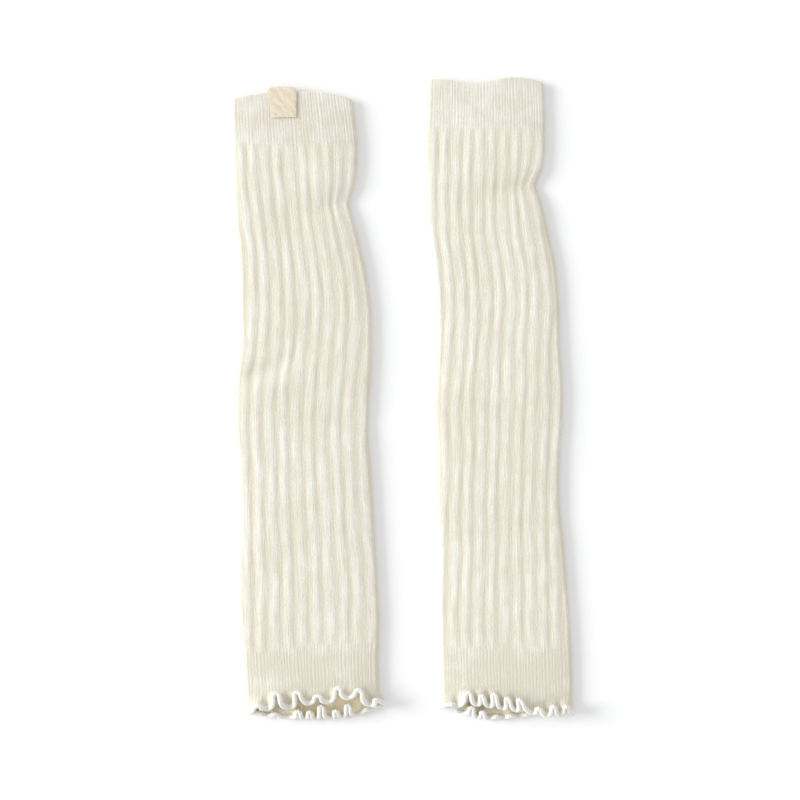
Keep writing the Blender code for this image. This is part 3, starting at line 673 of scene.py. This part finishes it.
def make_overlock(leg, material):
    """The thread wound over the ruffle's edge: a tube along the edge, ridged by a helix of wraps.

    Its centres are evenly spaced by length along the edge, and each ring is square to the edge. The
    radius swells where a wrap passes: by the cosine of its turn, which goes on by one turn each wrap
    along the edge and by one turn round the tube. Its section is an ellipse, pressed flat where it
    rests on the floor.
    """
    samples = np.linspace(0, 1, THREAD_SAMPLES)
    line = ruffle_middle(leg, samples, THREAD_LINE)
    passed = np.concatenate([[0], np.cumsum(np.linalg.norm(np.diff(line, axis=0), axis=-1))])
    count = round(passed[-1] / THREAD_PITCH) * THREAD_STEPS
    share = np.interp(np.arange(count) / count * passed[-1], passed, samples)
    round_way, normal = surface_ways(ruffle_middle, leg, share, THREAD_LINE, 1e-4)
    out_way = np.cross(round_way, normal)
    angle = np.arange(THREAD_SIDES)[None, :] * 2 * math.pi / THREAD_SIDES
    along = np.arange(count)[:, None] / THREAD_STEPS
    wrap = (0.5 + 0.5 * np.cos(2 * math.pi * along + angle)) ** THREAD_SHARPNESS
    uneven = 1 + slow_waves(THREAD_STRENGTH, share, 0.0)
    reach = ((1 + THREAD_RIDGE * (wrap - 0.5)) * uneven[:, None])[..., None] / 2
    wide_way = THREAD_WIDTH * np.cos(angle)[..., None] * out_way[:, None]
    thick_way = THREAD_THICKNESS * np.sin(angle)[..., None] * normal[:, None]
    points = ruffle_middle(leg, share, THREAD_LINE)[:, None] + reach * (wide_way + thick_way)
    points[..., 2] = np.maximum(points[..., 2], FLOOR_CLEARANCE)
    across = np.arange(THREAD_SIDES + 1) / THREAD_SIDES
    # Painted shade between the wraps
    name, masks = f"{leg['name']}_overlock_edge", {"hollow": 1 - wrap}
    return make_piece(name, points, (across, along), masks, material, crease_angle=80)


def label_middle(leg, across, run):
    """The middle of the label at a part of the way across and a length run from its front lower edge.

    It goes straight up the cuff and a little past its top edge, round a half circle, and straight down
    inside. Its left edge leans in downwards, and its corners at the fold are round.
    """
    turn = np.clip((run - LABEL_FRONT) / LABEL_RADIUS, 0, math.pi)
    back = np.maximum(run - LABEL_FRONT - math.pi * LABEL_RADIUS, 0)
    past_edge = np.minimum(run, LABEL_FRONT) - LABEL_FALL + LABEL_RADIUS * np.sin(turn) - back
    out = RIDGE_WALL / 2 + LABEL_RADIUS * np.cos(turn)
    fall = np.maximum(-past_edge, 0)
    from_fold = LABEL_LOOP + LABEL_RADIUS - past_edge
    corner = np.clip(LABEL_CORNER - from_fold, 0, LABEL_CORNER)
    inset = LABEL_CORNER - np.sqrt(LABEL_CORNER**2 - corner**2)
    left = LABEL_LEFT + LABEL_TAPER * fall / LABEL_FALL + inset
    x = left + (LABEL_RIGHT - inset - left) * across
    y = edge_line(leg, "top", upper_share(leg, x, edge_middle(leg, "top"))) + past_edge
    points, _ = tube(leg, upper_share(leg, x, y), y, out)
    return points


def make_label(leg, material):
    """The woven label: its flat round-edged section carried along the folded strip.

    The section goes across the face and back along the other side. Its thickness falls off at both
    edges as the square root of one less the eighth power of the place across. The columns stand
    closer together towards the edges, and a slow wave puckers the tape.
    """
    there = 0.5 - 0.5 * np.cos(np.linspace(0, math.pi, LABEL_HALF_COLUMNS))
    across = np.concatenate([there, there[::-1]])[None, :]
    side = np.repeat([1.0, -1.0], LABEL_HALF_COLUMNS)[None, :]
    run = np.linspace(0, LABEL_LENGTH, LABEL_ROWS)[:, None]
    from_middle = np.abs(2 * across - 1)
    thick = LABEL_WALL / 2 * np.sqrt(np.clip(1.02 - from_middle**8, 0, 1))
    pucker = PUCKER_HEIGHT * wave(across * PUCKERS_ACROSS + run / PUCKER_LENGTH)
    height = side * thick + pucker * smoothstep(0, PUCKER_REACH, run)
    inside = np.clip(across, 0.002, 0.998)
    _, normal = surface_ways(label_middle, leg, inside, run, 1e-3)
    points = label_middle(leg, inside, run) + normal * height[..., None]
    columns = np.append(across[0] * LABEL_WIDTH, 0.0)
    name, masks = f"{leg['name']}_label_tape", {"hollow": smoothstep(0.9, 1.0, from_middle)}
    return make_piece(name, points, (columns, run), masks, material, close_rows=False)


def make_tacks(leg, material):
    """The stitches that hold the label: a short arched tube over each of its lower corners, twice.

    Each runs along the label's lower edge in a slight bow, and its height over the face is the root of
    the sine of the way along it, so that both ends go down into the cloth.
    """
    width = LABEL_WIDTH - LABEL_TAPER
    along = np.linspace(0, 1, TACK_ROWS)
    angle = np.arange(TACK_SIDES)[None, :, None] * 2 * math.pi / TACK_SIDES
    height = LABEL_WALL / 2 - TACK_SUNK + TACK_ARCH * np.sqrt(np.sin(math.pi * along))
    stitches = np.arange(TACK_SIDES + 1) / TACK_SIDES, along[:, None] * TACK_LENGTH
    tacks = []
    for start in (TACK_INSET, width - TACK_INSET - TACK_LENGTH):
        for row in range(2):
            across = (start + along * TACK_LENGTH) / width
            run = TACK_INSET + row * TACK_SPACING + TACK_BOW * wave(along / 2)
            _, normal = surface_ways(label_middle, leg, across, run, 1e-3)
            centre = label_middle(leg, across, run) + normal * height[:, None]
            way = np.gradient(centre, axis=0)
            way /= np.linalg.norm(way, axis=-1, keepdims=True)
            ring = np.cos(angle) * np.cross(way, normal)[:, None] + np.sin(angle) * normal[:, None]
            points = centre[:, None] + TACK_RADIUS * ring
            name = f"{leg['name']}_label_tack_{len(tacks) + 1}"
            tacks.append(make_piece(name, points, stitches, {}, material, close_rows=False))
    return tacks


# Materials


def join(tree, given, socket):
    """Feeds a socket from another socket, or sets it to a value."""
    if isinstance(given, bpy.types.NodeSocket):
        tree.links.new(given, socket)
    else:
        socket.default_value = given


def new_node(tree, kind, group=None, **given):
    """A shader node, of a node group or not, with its inputs fed by name; the others stay as they are."""
    node = tree.nodes.new(f"ShaderNode{kind}")
    if group:
        node.node_tree = group
    for name, value in given.items():
        join(tree, value, node.inputs[name])
    return node


def maths(tree, operation, *given, clamp=False):
    """A Math node's output for these inputs."""
    node = new_node(tree, "Math")
    node.operation, node.use_clamp = operation, clamp
    for value, socket in zip(given, node.inputs):
        join(tree, value, socket)
    return node.outputs[0]


def calculator(tree):
    """Math nodes of a tree by short names: any operation, a product, and a product with a sum."""
    return partial(maths, tree), partial(maths, tree, "MULTIPLY"), partial(maths, tree, "MULTIPLY_ADD")


def mix(tree, factor, first, second):
    """first and second colours mixed by factor: sockets 6, 7 and 2 are the node's colour ones."""
    node = new_node(tree, "Mix", Factor=factor)
    node.data_type = "RGBA"
    join(tree, first, node.inputs[6])
    join(tree, second, node.inputs[7])
    return node.outputs[2]


def noise(tree, place, scale, detail=2.0):
    """A Noise Texture's value at a place."""
    return new_node(tree, "TexNoise", Vector=place, Scale=scale, Detail=detail).outputs["Fac"]


def noise_about_zero(tree, place, scale, detail=2.0):
    """A Noise Texture's value at a place, less its mean."""
    return maths(tree, "SUBTRACT", noise(tree, place, scale, detail), 0.5)


def parts_of(tree, place):
    """x and y of a place."""
    node = new_node(tree, "SeparateXYZ", Vector=place)
    return node.outputs["X"], node.outputs["Y"]


def place_at(tree, x, y):
    """A place from its x and y."""
    return new_node(tree, "CombineXYZ", X=x, Y=y).outputs[0]


def new_group(name, inputs, outputs):
    """An empty shader node group whose sockets have these names and kinds."""
    group = bpy.data.node_groups.new(name, "ShaderNodeTree")
    for way, sockets in (("INPUT", inputs), ("OUTPUT", outputs)):
        for socket_name, kind in sockets.items():
            group.interface.new_socket(socket_name, in_out=way, socket_type=f"NodeSocket{kind}")
    return group, group.nodes.new("NodeGroupInput").outputs, group.nodes.new("NodeGroupOutput").inputs


def knit_stitches_group():
    """Knit and purl stitches on a grid of wales and courses.

    A knit stitch is two legs that slope into a V: each leg is the sine of the way across its half of
    the wale, rippled by the course, whose phase moves on towards the wale's edges. The groove between
    two wales is deeper than the one between a stitch's legs. A purl stitch is a row of low bumps,
    shifted by half a course from one wale to the next. Long streaks run down the wales.
    """
    group, given, put = new_group(
        "knit_stitches",
        {"Stitches": "Vector", "Purl": "Float", "Grain": "Float"},
        {"Height": "Float", "Gap": "Float"},
    )
    calc, times, times_plus = calculator(group)
    place = given["Stitches"]
    x, y = parts_of(group, place)
    stray = times(noise_about_zero(group, place, 0.55), STITCH_STRAY)
    wale = calc("ADD", x, stray)
    course = times_plus(stray, 1.7, y)
    outwards = calc("ABSOLUTE", times_plus(calc("FRACT", wale), 2.0, -1.0))
    leg = calc("SINE", times(outwards, math.pi))
    slope_turn = times(times_plus(outwards, 0.7, course), 2 * math.pi)
    ripple = times_plus(calc("COSINE", slope_turn), 0.22, 0.72)
    legs = times_plus(calc("POWER", leg, 0.6), 0.65, 0.45)
    knit = times(times_plus(outwards, -0.45, legs), ripple)
    every_other = times(calc("MODULO", calc("FLOOR", wale), 2.0), 0.5)
    bump_turn = times(calc("ADD", course, every_other), 2 * math.pi)
    bumps = times_plus(calc("COSINE", bump_turn), 0.35, 0.45)
    purl = times(bumps, times_plus(leg, 0.4, 0.6))
    even = times_plus(calc("SUBTRACT", purl, knit), given["Purl"], knit)
    stretched = place_at(group, times(x, 0.75), times(y, 0.07))
    streaked = times_plus(noise_about_zero(group, stretched, 1.0), STREAK_HEIGHT, even)
    height = times_plus(noise_about_zero(group, place, 0.8, 1.0), given["Grain"], streaked)
    join(group, height, put["Height"])
    # The gap, one less the height, is where shade is painted between stitches
    join(group, calc("SUBTRACT", 1.0, height, clamp=True), put["Gap"])
    return group


def yarn_fibres_group():
    """Fine fibres and slow changes of shade: two fine noises for height, and two broad ones for shade."""
    group, given, put = new_group(
        "yarn_fibres", {"Place": "Vector"}, {"Height": "Float", "Shade": "Float", "Roughness": "Float"},
    )
    fine = noise(group, given["Place"], FINE_FIBRES, 3.0)
    coarse, broad, small = (
        noise(group, given["Place"], scale) for scale in (COARSE_FIBRES, BROAD_SHADES, SMALL_SHADES)
    )
    _, times, times_plus = calculator(group)
    height, shade = (
        times_plus(most, 0.6, times(rest, 0.4)) for most, rest in ((fine, coarse), (broad, small))
    )
    join(group, height, put["Height"])
    join(group, times_plus(shade, 3.0, -1.0, clamp=True), put["Shade"])
    join(group, times_plus(coarse, 0.16, 0.8), put["Roughness"])
    return group


def yarn_colour_group():
    """The yarn's colour: painted shade, warmer and darker, in hollows and gaps between stitches, darker in
    slow random drifts of tone, and a painted glow on inner faces.
    """
    colours = dict.fromkeys(("Crest", "Deep", "Inside_Colour"), "Color")
    shares = dict.fromkeys(("Hollow", "Gap", "Gap_Depth", "Shade", "Drift", "Inside"), "Float")
    group, given, put = new_group("yarn_colour", {**colours, **shares}, {"Colour": "Color"})
    deep = maths(group, "MULTIPLY_ADD", given["Gap"], given["Gap_Depth"], given["Hollow"])
    deep = maths(group, "MULTIPLY_ADD", given["Shade"], given["Drift"], deep, clamp=True)
    outside = mix(group, deep, given["Crest"], given["Deep"])
    join(group, mix(group, given["Inside"], outside, given["Inside_Colour"]), put["Colour"])
    return group


def new_material(name, shine):
    """A material, its tree, its Principled shader with this much shine, and the place on the object."""
    material = bpy.data.materials.new(name)
    material.use_nodes = True
    tree = material.node_tree
    shader = tree.nodes["Principled BSDF"]
    shader.inputs["Specular IOR Level"].default_value = shine
    return material, tree, shader, new_node(tree, "TexCoord").outputs["Object"]


def cloth_material(name, groups):
    """A soft matt material with a little sheen, its tree, its shader and the yarn's fibres."""
    material, tree, shader, place = new_material(name, 0.2)
    shader.inputs["Sheen Weight"].default_value = 0.12
    shader.inputs["Sheen Roughness"].default_value = 0.6
    fibres = new_node(tree, "Group", groups["fibres"], Place=place).outputs
    join(tree, fibres["Roughness"], shader.inputs["Roughness"])
    return material, tree, shader, fibres


def mask_of(tree, name):
    """A piece's own mask, by name."""
    node = new_node(tree, "Attribute")
    node.attribute_name = name
    return node.outputs["Fac"]


def stitch_place(tree):
    """The place on the piece's own stitch map."""
    node = new_node(tree, "UVMap")
    node.uv_map = "stitches"
    return node.outputs["UV"]


def finish(tree, shader, groups, height, height_mm, **given):
    """Feeds the shader's colour from the yarn's, and its normal from a height whose 1 is height_mm."""
    colour = new_node(tree, "Group", groups["colour"], **given)
    join(tree, colour.outputs["Colour"], shader.inputs["Base Color"])
    bump = new_node(tree, "Bump", Strength=1.0, Distance=height_mm * MM, Height=height)
    join(tree, bump.outputs["Normal"], shader.inputs["Normal"])


def knit_material(name, groups, crest, deep, gap_depth, drift, stitch_height, hollow_share, grain):
    """Cream cotton knit: V stitches on the ribs, purl bumps in their hollows, and fine fibres over all."""
    material, tree, shader, fibres = cloth_material(name, groups)
    place, purl = stitch_place(tree), mask_of(tree, "purl")
    stitches = new_node(tree, "Group", groups["stitches"], Stitches=place, Purl=purl, Grain=grain).outputs
    # The hollow and tone masks carry painted shade in hollows, creases and on folds, besides the ankle cuff's
    # tone
    hollow = maths(tree, "MULTIPLY_ADD", mask_of(tree, "hollow"), hollow_share, mask_of(tree, "tone"))
    height = maths(tree, "MULTIPLY_ADD", fibres["Height"], 0.2, stitches["Height"])
    finish(
        tree, shader, groups, height, stitch_height,
        Crest=crest, Deep=deep, Hollow=hollow, Shade=fibres["Shade"], Drift=drift,
        Gap=stitches["Gap"], Gap_Depth=gap_depth, Inside=mask_of(tree, "inside"), Inside_Colour=INSIDE_PAINTED_GLOW,
    )
    return material


def thread_material(name, groups, crest, deep):
    """Sewing thread: paler on each wrap, with shade painted darker between two, and fine fibres."""
    material, tree, shader, fibres = cloth_material(name, groups)
    hollow = maths(tree, "MULTIPLY", mask_of(tree, "hollow"), 0.75)
    finish(
        tree, shader, groups, fibres["Height"], THREAD_FIBRE_HEIGHT,
        Crest=crest, Deep=deep, Hollow=hollow, Shade=fibres["Shade"], Drift=0.15,
    )
    return material


def label_material(name, groups, crest, deep):
    """Woven cotton tape: warp and weft as two crossed waves, in turn over and under, and slanting flecks."""
    material, tree, shader, fibres = cloth_material(name, groups)
    calc, times, times_plus = calculator(tree)
    x, y = parts_of(tree, stitch_place(tree))
    warp = calc("SINE", times(x, 2 * math.pi / WARP_PITCH))
    weft = calc("SINE", times(y, 2 * math.pi / WEFT_PITCH))
    weave = times_plus(times(warp, weft), 0.5, 0.5)
    slant = place_at(tree, times_plus(y, 0.8, x), times(y, 0.3))
    flecks = times_plus(noise(tree, slant, 0.75), 3.6, -1.5, clamp=True)
    # Painted shade where the weave dips between warp and weft; the slanting flecks are the tape's own, and it
    # is darker along its two long edges
    hollow = times_plus(flecks, 0.7, times(mask_of(tree, "hollow"), 0.5))
    height = times_plus(fibres["Height"], 0.5, weave)
    finish(
        tree, shader, groups, height, WEAVE_HEIGHT, Crest=crest, Deep=deep, Hollow=hollow,
        Shade=fibres["Shade"], Drift=0.4, Gap=calc("SUBTRACT", 1.0, weave), Gap_Depth=0.45,
    )
    return material


def floor_material():
    """Plain white paper: matt, with a shade that changes very slightly over it."""
    material, tree, shader, place = new_material("white_paper", 0.0)
    shader.inputs["Roughness"].default_value = 0.9
    shade = mix(tree, noise(tree, place, 3.0), (0.93, 0.93, 0.93, 1), (0.935, 0.935, 0.935, 1))
    join(tree, shade, shader.inputs["Base Color"])
    return material


def make_materials():
    """Every finish of the pair, by the record's slots and the trims' own names."""
    groups = {
        "stitches": knit_stitches_group(),
        "fibres": yarn_fibres_group(),
        "colour": yarn_colour_group(),
    }
    finishes = {
        "rib_knit": knit_material(
            "cream_rib_knit", groups, *RIB_COLOURS,
            gap_depth=0.42, drift=0.62, stitch_height=0.2, hollow_share=0.64, grain=1.3,
        ),
        "overlock": thread_material("white_overlock_thread", groups, *THREAD_COLOURS),
        "label_weave": label_material("woven_label_tape", groups, *LABEL_COLOURS),
        "tack": thread_material("label_tack_thread", groups, *TACK_COLOURS),
    }
    for slot in ("cuff_knit", "ruffle_knit"):
        finishes[slot] = knit_material(
            f"cream_{slot}", groups, *CUFF_COLOURS,
            gap_depth=0.48, drift=0.75, stitch_height=0.17, hollow_share=0.2, grain=0.9,
        )
    return finishes


# The pair


def make_lengths(leg, finishes):
    """The knitted lengths of one leg warmer, each laid flat."""
    name = leg["name"]
    for node, edges, grid, slot in LENGTHS:
        piece = make_tube(leg, f"{name}_{node}_knit", edges, grid, finishes[slot])
        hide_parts(f"{name}_{node}")
        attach(piece, "root")


def make_hem(leg, finishes):
    """The gathered ruffle and its overlocked edge."""
    ruffle = make_ruffle(leg, finishes["ruffle_knit"])
    overlock = make_overlock(leg, finishes["overlock"])
    for piece in (ruffle, overlock):
        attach(piece, "root")
    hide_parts(f"{leg['name']}_ruffle")
    edge = ruffle_middle(leg, np.linspace(0, 1, EDGE_SAMPLES), 1.0)


def make_folded_label(leg, finishes):
    """The label and its stitches, over the top edge of the cuff."""
    label = make_label(leg, finishes["label_weave"])
    tacks = make_tacks(leg, finishes["tack"])
    for piece in (label, *tacks):
        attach(piece, "root")
    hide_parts(f"{leg['name']}_label")


# The studio


def make_floor():
    """A wide sheet of white paper that the pair lies on."""
    mesh = bpy.data.meshes.new("paper_floor")
    corners = [(x * FLOOR_REACH, y * FLOOR_REACH, 0) for x, y in ((-1, -1), (1, -1), (1, 1), (-1, 1))]
    mesh.from_pydata(corners, [], [(0, 1, 2, 3)])
    mesh.materials.append(floor_material())
    add_object("paper_floor", mesh)


def make_camera():
    """A long lens straight above the pair."""
    camera = bpy.data.cameras.new("camera")
    camera.lens, camera.sensor_width = CAMERA_LENS, CAMERA_SENSOR
    camera.clip_start, camera.clip_end = 0.1, 20.0
    holder = add_object("camera", camera)
    holder.location = [value * MM for value in CAMERA_PLACE]
    bpy.context.scene.camera = holder


def make_lights():
    """A wide soft sun low on the left, and white light from all round."""
    sun = bpy.data.lights.new("window_light", "SUN")
    sun.energy, sun.angle, sun.color = SUN_STRENGTH, math.radians(SUN_WIDTH), SUN_COLOUR
    turn_x, turn_y = SUN_TURNS
    add_object("window_light", sun).rotation_euler = (math.radians(turn_x), math.radians(turn_y), 0)
    world = bpy.data.worlds.new("studio")
    world.use_nodes = True
    background = world.node_tree.nodes["Background"]
    background.inputs["Color"].default_value = SKY_COLOUR
    background.inputs["Strength"].default_value = SKY_STRENGTH
    bpy.context.scene.world = world


def main():
    make_camera()
    make_lights()
    make_floor()
    finishes = make_materials()
    for leg in (LEFT, RIGHT):
        make_lengths(leg, finishes)
        make_hem(leg, finishes)
    make_folded_label(LEFT, finishes)
    bpy.context.scene.view_settings.view_transform = "Standard"


main()
